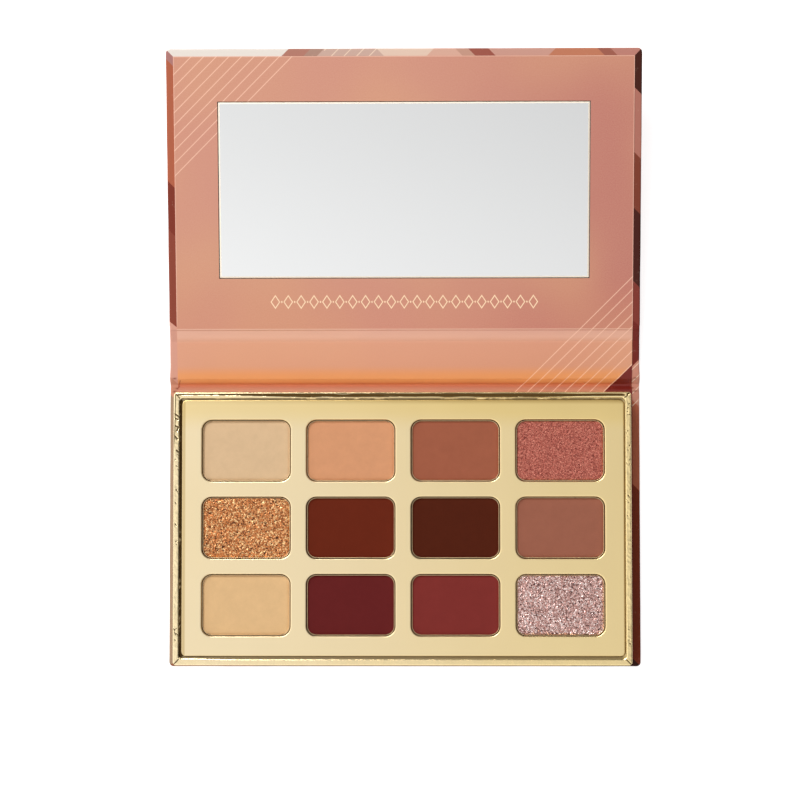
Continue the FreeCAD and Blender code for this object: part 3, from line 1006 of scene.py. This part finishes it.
def hinge_liner(name, at, low_z, high_z, crumple):
    curve = hinge_curve(at, low_z - LINER, high_z - LINER) + np.array([0, LINER])
    xs = np.array(spaced([-LINER_X, -LINER_X + 3, LINER_X - 3, LINER_X], 1.5))
    xs = np.unique(np.concatenate([xs, -LINER_X + np.arange(0, 3, 0.15),
                                   LINER_X - np.arange(0, 3, 0.15)]))
    points = np.array([(x, s, z) for s, z in curve for x in xs])
    deep = unit(1 - np.abs(points[:, 1] - at) / GAP)
    points[:, 2] += wobble(points, crumple, 7.0, 5) * deep
    marks = fold_marks(points)
    points[:, 2] -= 0.08 * marks
    obj = piece(name, points, bridge(len(curve), len(xs)), LINER_MAT, crease=marks)
    thicken(obj, LINER)
    hinge_point(at, -FOLD)
    hinge_point(at, FOLD)
    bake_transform(obj)


BASE_LINER_Z = BASE_PAPER_Z + LINER
SPINE_LINER_Z = SPINE_PAPER_Z + LINER
LID_LINER_Z = LID_PAPER_Z + LINER
MIRROR_GAP = 0.22
WINDOW = (MIRROR_LO[0] - MIRROR_GAP, MIRROR_HI[0] + MIRROR_GAP,
          MIRROR_LO[1] - MIRROR_GAP, MIRROR_HI[1] + MIRROR_GAP)
liner_panel("liner_base", [FRONT_S + LINER_MARGIN, BASE_CUT], BASE_LINER_Z, "base", "base_liner")
liner_panel("liner_spine", [GAP + SEAM, SPACING - GAP - SEAM], SPINE_LINER_Z, "spine",
            "spine_liner")
liner_panel("liner_lid", [LID_CUT, WINDOW[2], WINDOW[3], FAR_S - LINER_MARGIN], LID_LINER_Z,
            "lid", "lid_liner", WINDOW)
hinge_liner("liner_hinge_base", 0.0, BASE_LINER_Z, SPINE_LINER_Z, 0.10)
hinge_liner("liner_hinge_lid", SPACING, SPINE_LINER_Z, LID_LINER_Z, 0.08)


# -------- stamped ornament on the lid

ORNAMENT_V = 10.0       # middle of the band, from the lid hinge
ORNAMENT_COUNT = 21
ORNAMENT_PITCH = 3.86
ORNAMENT_HALF = (1.45, 2.15)    # half width and height of an open lozenge
LINK_HALF = (0.28, 0.4)         # and of a small solid one
STROKE = 0.3


def lozenge(x, half_x, half_s, hollow):
    """Points and faces of one raised lozenge, or of an open one."""
    low, high = LID_LINER_Z + 0.002, LID_LINER_Z + 0.022
    levels = [(1.0, low), (1.0, high)]
    if hollow:
        inner = 1 - STROKE * 0.72 * (1 / half_x + 1 / half_s)
        levels += [(inner, high), (inner, low)]
    points = [(x + dx * half_x * scale, SPACING + ORNAMENT_V + ds * half_s * scale, z)
              for scale, z in levels for dx, ds in ((1, 0), (0, 1), (-1, 0), (0, -1))]
    if not hollow:
        return points, bridge(2, 4, closed=True) + [(4, 5, 6, 7), (3, 2, 1, 0)]
    faces = bridge(len(levels) + 1, 4, closed=True)
    return points, [tuple(i % len(points) for i in face) for face in faces]


def lozenge_band():
    """A row of open lozenges joined by small solid ones, stamped in cream foil."""
    points, faces = [], []
    for k in range(2 * ORNAMENT_COUNT - 1):
        x = (k - ORNAMENT_COUNT + 1) / 2 * ORNAMENT_PITCH
        open_one = k % 2 == 0
        made, joined = lozenge(x, *(ORNAMENT_HALF if open_one else LINK_HALF), open_one)
        faces += [tuple(len(points) + i for i in face) for face in joined]
        points += made
    obj = piece("lid_ornament", points, faces, STAMP_MAT, smooth=10)
    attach(obj, "lid")


lozenge_band()


# -------- mirror

def mirror_plate():
    """Glass with a ground bevel; its face stands level with the CAD's."""
    low, high = MIRROR_LO[2], MIRROR_HI[2]
    levels = [(0.0, low), (0.0, high - 0.18), (0.05, high - 0.14), (0.42, high), (0.47, high)]
    points, faces = capped(plan(MIRROR_LO, MIRROR_HI), 0.25, levels, (4, 4, 3))
    obj = piece("mirror_plate", points, faces, BEVEL_MAT, smooth=12,
                second=(MIRROR_MAT, len(faces) - 2))
    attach(obj, "lid")
    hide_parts("mirror")


mirror_plate()


# -------- tray walls

FOIL_COUNTS = (230, 340, 8)     # points per long wall, short wall and corner
FOIL_SHEET = 0.08
TUCKED = 1.25           # how far the foil turns down inside, before it meets the gold card
LONG_FOLD = 0.22        # depth of the fold along the rear wall
# the boldest folds across the left wall: distance from the rear edge and inset, at both ends
LEFT_STREAKS = [
    (6.4, 0.25, 7.1, 1.45), (7.7, 0.35, 8.1, 1.35), (10.0, 0.55, 10.3, 1.45),
    (10.3, 1.45, 11.5, 0.95), (13.1, 0.5, 13.9, 1.25), (17.2, 0.9, 17.7, 1.5),
]


# random folds along the left and the right wall: how many, how many of those in the rear stretch,
# the two stretches as shares of the wall from its rear, then inset, half length, reach and depth
STREAKS = {"count": 16, "rearward": 11, "rear": (0.22, 0.62), "front": (0.86, 0.97),
           "inset": (0.45, 1.5), "half": (0.15, 0.5), "reach": (0.14, 0.22), "depth": 0.13}
SPECKS = {"count": 30, "rearward": 22, "rear": (0.03, 0.5), "front": (0.85, 0.98),
          "inset": (0.35, 1.4), "half": (0.03, 0.25), "reach": (0.12, 0.2), "depth": 0.12}


def scattered(rng, look, wall_x, inward, draw_angle):
    """Random folds along one side wall, as crinkles() gives them."""
    span = FOIL_HI[1] - FOIL_LO[1]
    folds = []
    for k in range(look["count"]):
        share = rng.uniform(*look["rear" if k < look["rearward"] else "front"])
        middle = np.array([wall_x + inward * rng.uniform(*look["inset"]),
                           FOIL_HI[1] - share * span])
        angle = draw_angle()
        half = rng.uniform(*look["half"]) * np.array([math.cos(angle), math.sin(angle)])
        folds.append((middle - half, middle + half, rng.uniform(*look["reach"]), look["depth"]))
    return folds


def crinkles():
    """Short folds in the foil as (start, end, reach, depth): streaks along the left wall, specks
    along the right one, and the folds across the four corners."""
    rng = np.random.default_rng(11)
    left, right = FOIL_LO[0], FOIL_HI[0]
    front, rear = FOIL_LO[1], FOIL_HI[1]
    folds = []
    for x, inward_x in ((left, 1), (right, -1)):
        for s, inward_s in ((front, 1), (rear, -1)):
            folds.append(((x + 0.25 * inward_x, s + 0.25 * inward_s),
                          (x + WALL * inward_x, s + WALL * inward_s), 0.16, 0.16))
    for down, inset, to_down, to_inset in LEFT_STREAKS:
        folds.append(((left + inset, rear - down), (left + to_inset, rear - to_down), 0.3, 0.2))
    folds += scattered(rng, STREAKS, left, 1,
                       lambda: rng.choice([-1, 1], p=[0.75, 0.25]) * rng.uniform(0.35, 1.1))
    folds += scattered(rng, SPECKS, right, -1, lambda: rng.uniform(-1.2, 1.2))
    folds.append(((right - 1.0, rear - 0.6), (right - 0.6, rear - 0.5), 0.42, 0.25))
    return folds


def wall_side(flat):
    """Which wall each point lies on: 0 left, 1 right, 2 front, 3 rear."""
    return np.argmin([flat[:, 0] - FOIL_LO[0], FOIL_HI[0] - flat[:, 0],
                      flat[:, 1] - FOIL_LO[1], FOIL_HI[1] - flat[:, 1]], axis=0)


def long_folds(flat, inset):
    """Depth of the fold that runs along the rear wall, and how much painted shade and dark
    reflection the foil takes there, at the outer edge of the left wall and down inside all four."""
    x, side = flat[:, 0], wall_side(flat)
    along = np.column_stack([flat, np.zeros(len(flat))])
    ragged = wobble(along, 0.10, 0.9, 21) + wobble(along, 0.14, 5.0, 22)
    streaks = wobble(np.column_stack([x / 9, inset / 0.3, 0 * x]), 1.0, 1.0, 23)
    half = 0.10 + 0.42 * smoothstep((x + 62) / 35) * (1 - 0.55 * smoothstep((x - 35) / 30))
    half += 0.08 + ragged * 0.35
    away = np.abs(inset - 0.30 - half - 0.22 * (x / 65) ** 2)
    fold = unit((half - away) / 0.14) * (side == 3)
    fold *= unit((FOIL_HI[0] - 1.2 - x) / 1.5) * np.clip(1.3 + 1.3 * streaks, 0.4, 1)
    # painted shade and dark reflection along the outer edge of the left wall, towards the rear
    share = unit((flat[:, 1] - (FOIL_HI[1] - 20)) / 8)
    edge = unit(1 - np.abs(inset - 0.12 - 0.25 * share * share) / 0.2) * share
    edge *= side == 0
    # painted shade down the inner faces of the walls
    rough_edge = np.array([0.9, 0.3, 0.1, 0.9])[side] * ragged
    inner = unit((inset - WALL + 0.12 - rough_edge) / 0.10)
    inner *= np.array([0.6, 0.35, 0.44, 0.38])[side]
    return fold, np.maximum(np.maximum(fold, edge), inner)


def foil_walls():
    """Foil round the four walls, folded at the corners, creased where it was pressed down and
    tucked in against the edge of the gold card."""
    corners = [(0.0, FOIL_LO[2]), (0.0, RIM_Z), (WALL, RIM_Z), (WALL, RIM_Z - TUCKED)]
    profile = rounded_path(corners, [0.35, 0.45], STEP)
    keep = [i for i in range(len(profile)) if profile[i][1] > RIM_Z - 0.6 or i % 24 == 0]
    profile = profile[keep + [len(profile) - 1]]
    rings = [loop(*plan(FOIL_LO, FOIL_HI), 0.9 + 0.3 * inset / WALL + inset, inset, FOIL_COUNTS)
             for inset, _ in profile]
    rings.append(loop(*plan(PANEL_LO, PANEL_HI), PANEL_R, -0.03, FOIL_COUNTS))
    levels = np.append(profile[:, 1], RIM_Z - TUCKED - 0.1)
    points = stack(rings, levels)
    inset = np.repeat(np.append(profile[:, 0], WALL + 0.3), len(rings[0]))
    front = (wall_side(points[:, :2]) == 2) & (inset < WALL + 0.1)
    lean = 0.12 + 0.25 * np.exp(-((points[:, 0] - FOIL_LO[0] - 5) / 8) ** 2)
    points[:, 1] += lean * smoothstep((inset - WALL + 0.9) / 0.9) * front
    upper = unit((points[:, 2] - (RIM_Z - 0.55)) / 0.3)
    # besides the fold depth, a share of painted shade for the folds, the crinkles and the inner faces
    drop, foil_shade = long_folds(points[:, :2], inset)
    drop = drop * LONG_FOLD
    for start, end, reach, deep in crinkles():
        near = closeness(points[:, :2], start, end, reach)
        drop = np.maximum(drop, deep * near)
        # painted shade in each crinkle
        foil_shade = np.maximum(foil_shade, unit(near * 2.2 - 0.5) * (upper > 0))
    calm = wobble(points, 0.05, 14.0, 3) + wobble(points, 0.03, 4.0, 4)
    side = wall_side(points[:, :2]) < 2
    calm -= np.abs(wobble(points, 0.10, 1.3, 6)) * side
    points[:, 2] += np.clip(calm - drop, -SLACK, 0.03) * upper
    leaning = unit((points[:, 1] - FOIL_HI[1] + 14) / 12) * unit(1 - inset / WALL)
    points[:, 0] += SLACK * leaning * upper * (wall_side(points[:, :2]) == 0)
    outside = (points[:, 2] < RIM_Z - 0.6) & (inset < 0.1)
    obj = piece("foil_walls", points, bridge(len(rings), len(rings[0]), closed=True), FOIL_MAT,
                smooth=30, crease=foil_shade * ~outside)
    thicken(obj, FOIL_SHEET, smooth=30)
    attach(obj, "base")
    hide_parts("tray_foil")


foil_walls()


# -------- gold panel with its windows

PAN_BOXES = [flat_box("pan_%02d" % k) for k in range(1, 13)]
PAN_GAP = 0.2
PAN_WALL = 0.2
CROWN = 0.06            # how far a powder's surface falls from its middle to its edge
WORN = 0.28             # and how much more it drops right at the edge
WINDOW_W, WINDOW_D = (size + 2 * PAN_GAP for size in plan(*PAN_BOXES[0])[2:])
WINDOW_R = 3.0
PAN_CENTRES = [plan(*box)[:2] for box in PAN_BOXES]


def gold_panel():
    """Card with rounded edges round the outside and each window."""
    top, low = PANEL_HI[2], PANEL_LO[2]
    lip = 0.3
    section = [(0.0, low)] + [(lip * (1 - math.cos(a)), top - lip * (1 - math.sin(a)))
                              for a in np.linspace(0, math.pi / 2, 7)] + [(lip + 0.3, top)]
    heights = [z for _, z in section]
    outlines = [(plan(PANEL_LO, PANEL_HI), PANEL_R, 1, (40, 24, 10))]
    outlines += [((*centre, WINDOW_W, WINDOW_D), WINDOW_R, -1, (14, 10, 10))
                 for centre in PAN_CENTRES]
    blocks, faces, flat_loops = [], [], []
    start = 0
    for box, radius, way, counts in outlines:
        rings = [loop(*box, radius, way * inset, counts) for inset, _ in section]
        blocks.append(stack(rings, heights))
        count = len(rings[0])
        faces += [tuple(start + i for i in face[::way])
                  for face in bridge(len(rings), count, closed=True)]
        start += len(rings) * count
        flat_loops.append(list(range(start - count, start)))
    points = np.vstack(blocks)
    faces += fill_between(points, flat_loops)
    obj = piece("gold_panel", points, faces, CARD_MAT, smooth=60)
    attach(obj, "base")
    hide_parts("insert_panel")


def fill_between(points, loops):
    """Triangles that fill the flat area inside the first loop and outside the others."""
    order = [i for ring in loops for i in ring]
    place = {i: k for k, i in enumerate(order)}
    flat = [Vector((points[i][0], points[i][1])) for i in order]
    edges = [(place[a], place[b]) for ring in loops for a, b in zip(ring, ring[1:] + ring[:1])]
    result = delaunay_2d_cdt(flat, edges, [], 0, 1e-6)
    faces = []
    for tri in result[2]:
        middle = sum((result[0][i] for i in tri), Vector((0, 0))) / 3
        inside = [contains([flat[place[i]] for i in ring], middle) for ring in loops]
        if inside[0] and not any(inside[1:]):
            faces.append(tuple(order[result[3][i][0]] for i in tri))
    return faces


def contains(ring, point):
    """Whether a closed ring goes round a point."""
    hit = False
    for a, b in zip(ring, ring[1:] + ring[:1]):
        if (a.y > point.y) != (b.y > point.y):
            if point.x < (b.x - a.x) * (point.y - a.y) / (b.y - a.y) + a.x:
                hit = not hit
    return hit


gold_panel()


# -------- pans and powders

def pan(number):
    """Stamped metal pan with a rolled rim."""
    lo, hi = PAN_BOXES[number - 1]
    low, rim, wall = lo[2], hi[2], PAN_WALL
    levels = [(1.0, low), (0.35, low), (0.1, low + 0.1), (0.0, low + 0.35), (0.0, rim - 0.09),
              (0.03, rim - 0.02), (wall / 2, rim), (wall - 0.03, rim - 0.02),
              (wall, rim - 0.09), (wall, low + wall + 0.3), (wall + 0.3, low + wall)]
    points, faces = capped(plan(lo, hi), WINDOW_R - PAN_GAP, levels, (14, 10, 8))
    obj = piece("pan_rolled_%02d" % number, points, faces, PAN_MAT)
    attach(obj, "base")
    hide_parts("pan_%02d" % number)


def cake(number, centre, material, cell, rough):
    """Pressed powder: a closed block with a slightly crowned, grained top.  cell is the spacing
    of its surface points and rough how far they stand out of the surface."""
    lo, hi = flat_box("powder_%02d" % number)
    width, depth = plan(lo, hi)[2:]
    low, top = lo[2], hi[2]
    radius = WINDOW_R - PAN_GAP - PAN_WALL
    columns, rows = int(width / cell), int(depth / cell)
    half_w, half_d = width / 2, depth / 2
    grid = []
    for j in range(rows + 1):
        t = -half_d + depth * j / rows
        over = max(0.0, abs(t) - (half_d - radius))
        half = half_w - radius + math.sqrt(max(radius * radius - over * over, 0.0))
        grid += [(centre[0] + half * (2 * i / columns - 1), centre[1] + t)
                 for i in range(columns + 1)]
    grid = np.array(grid)
    u = (grid[:, 0] - centre[0]) / half_w
    v = (grid[:, 1] - centre[1]) / half_d
    edge = np.maximum(np.abs(u), np.abs(v))
    height = top - 0.02 - CROWN * np.maximum(u * u, v * v)
    height -= WORN * unit((edge - 0.955) / 0.045) ** 2
    places = np.column_stack([grid, np.zeros(len(grid))])
    height += wobble(places, rough * 0.5, 2.5, number)
    rng = np.random.default_rng(number)
    height += rng.uniform(-rough, rough, len(grid)) * (edge < 0.999)
    height = np.minimum(height, top + 0.05)
    points = np.column_stack([grid, height])
    faces = bridge(rows + 1, columns + 1)
    rim = border(rows + 1, columns + 1)
    start = len(points)
    skirt = points[rim].copy()
    skirt[:, 2] = low
    points = np.vstack([points, skirt])
    for k in range(len(rim)):
        n = (k + 1) % len(rim)
        faces.append((rim[n], rim[k], start + k, start + n))
    faces.append(tuple(range(start, start + len(rim)))[::-1])
    obj = piece("pressed_powder_%02d" % number, points, faces, material, smooth=35)
    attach(obj, "base")
    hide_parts("powder_%02d" % number)


def border(rows, columns):
    """Indices round the edge of a grid, anticlockwise from above."""
    last = (rows - 1) * columns
    around = list(range(columns))
    around += [r * columns + columns - 1 for r in range(1, rows)]
    around += [last + c for c in range(columns - 2, -1, -1)]
    around += [r * columns for r in range(rows - 2, 0, -1)]
    return around


MATTE = {
    1: (rgb(222, 188, 148), 0.10), 2: (rgb(218, 155, 114), 0.08), 3: (rgb(163, 94, 70), 0.10),
    6: (rgb(106, 39, 22), 0.18), 7: (rgb(83, 33, 18), 0.18), 8: (rgb(158, 98, 78), 0.10),
    9: (rgb(229, 188, 137), 0.10), 10: (rgb(103, 34, 34), 0.18), 11: (rgb(129, 49, 45), 0.15),
}
SPARKLE = {
    # base, spark, dark, flake size, metallic, roughness, surface cell, surface roughness
    4: (rgb(176, 91, 76), rgb(222, 140, 120), rgb(108, 36, 30), 0.21, 0.5, 0.42, 0.25, 0.05),
    5: (rgb(199, 121, 66), rgb(255, 212, 152), rgb(48, 14, 2), 0.31, 0.6, 0.32, 0.25, 0.10),
    12: (rgb(200, 153, 144), rgb(255, 236, 231), rgb(54, 20, 20), 0.31, 0.6, 0.28, 0.25, 0.12),
}
for number, centre in enumerate(PAN_CENTRES, start=1):
    pan(number)
    if number in MATTE:
        colour, speck = MATTE[number]
        cake(number, centre, matte_powder(number, shade(colour, LIGHT), speck), 0.5, 0.006)
    else:
        base, spark, dark, flake, metallic, rough, cell, stand = SPARKLE[number]
        look = shimmer_powder(number, base, spark, dark, flake, metallic, rough)
        cake(number, centre, look, cell, stand)


# -------- stage, light and camera

FLOOR_HALF = 3.0        # metres
FLOOR_Z = -0.0002
LENS = 112.5
CAMERA = (9.60, -43.77, 752.4)  # millimetres: x, from the base hinge axis, height
PITCH, ROLL, YAW = math.radians(2.975), math.radians(-0.063), math.radians(-0.836)
KEY_LIGHT = {"location": (-0.45, 0.75, 0.95), "target": (0, 0.02, 0), "size": (0.7, 0.5),
             "power": 10.5}


def swing(a, b, angle):
    """Two perpendicular vectors turned in their plane, the first towards the second."""
    return a * math.cos(angle) + b * math.sin(angle), b * math.cos(angle) - a * math.sin(angle)


def stage_floor():
    sh = Shader("pale_floor")
    tone = sh.solid_noise(300, detail=1)
    sh.set(Base_Color=sh.mix(tone, (0.46, 0.46, 0.46), (0.48, 0.48, 0.48)), Roughness=0.85,
           Emission_Color=(1.0, 1.0, 1.0), Emission_Strength=0.80)
    mesh = bpy.data.meshes.new("floor")
    corners = [(x * FLOOR_HALF, y * FLOOR_HALF, FLOOR_Z)
               for x, y in ((-1, -1), (1, -1), (1, 1), (-1, 1))]
    mesh.from_pydata(corners, [], [(0, 1, 2, 3)])
    mesh.materials.append(sh.material)
    floor = bpy.data.objects.new("floor", mesh)
    bpy.context.scene.collection.objects.link(floor)


def studio_world():
    """Soft surroundings, brightest overhead to the back left and dim near the horizon."""
    world = bpy.data.worlds.new("studio")
    bpy.context.scene.world = world
    world.use_nodes = True
    sky = Nodes(world.node_tree)
    parts = sky.node("SeparateXYZ", {0: sky.node("TexCoord").outputs["Generated"]})
    x, y, z = parts.outputs
    slope = sky.math("ADD", sky.mul(x, -0.9), sky.mul(y, -0.6))
    level = sky.math("MAXIMUM", sky.math("ADD", slope, 0.80), 0.12)
    level = sky.math("MINIMUM", level, 1.35)
    rise = sky.math("MINIMUM", sky.math("MAXIMUM", sky.mul(z, 1.6), 0.12), 1.0)
    background = sky.tree.nodes["Background"].inputs
    sky.put(background["Color"], (1, 1, 1))
    sky.put(background["Strength"], sky.mul(level, rise))


def area_light(name, location, target, size, power):
    data = bpy.data.lights.new(name, "AREA")
    data.shape = "RECTANGLE"
    data.size, data.size_y = size
    data.energy = power
    light = bpy.data.objects.new(name, data)
    light.location = location
    way = Vector(target) - Vector(location)
    light.rotation_euler = way.to_track_quat("-Z", "Y").to_euler()
    bpy.context.scene.collection.objects.link(light)


def photo_camera():
    """Nearly overhead, from a little in front of the middle."""
    data = bpy.data.cameras.new("camera")
    data.lens = LENS
    data.sensor_width = 36.0
    camera = bpy.data.objects.new("camera", data)
    forward = Vector((0, math.sin(PITCH), -math.cos(PITCH)))
    up = Vector((0, math.cos(PITCH), math.sin(PITCH)))
    forward, right = swing(forward, Vector((1, 0, 0)), YAW)
    right, up = swing(right, up, ROLL)
    turn = Matrix((right, up, -forward)).transposed().to_4x4()
    place = Vector((CAMERA[0], AXIS[1] + CAMERA[1], CAMERA[2])) * MM
    camera.matrix_world = Matrix.Translation(place) @ turn
    data.clip_start, data.clip_end = 0.05, 20
    bpy.context.scene.collection.objects.link(camera)
    bpy.context.scene.camera = camera


stage_floor()
studio_world()
area_light("key", **KEY_LIGHT)
photo_camera()
bpy.context.scene.view_settings.view_transform = "Standard"
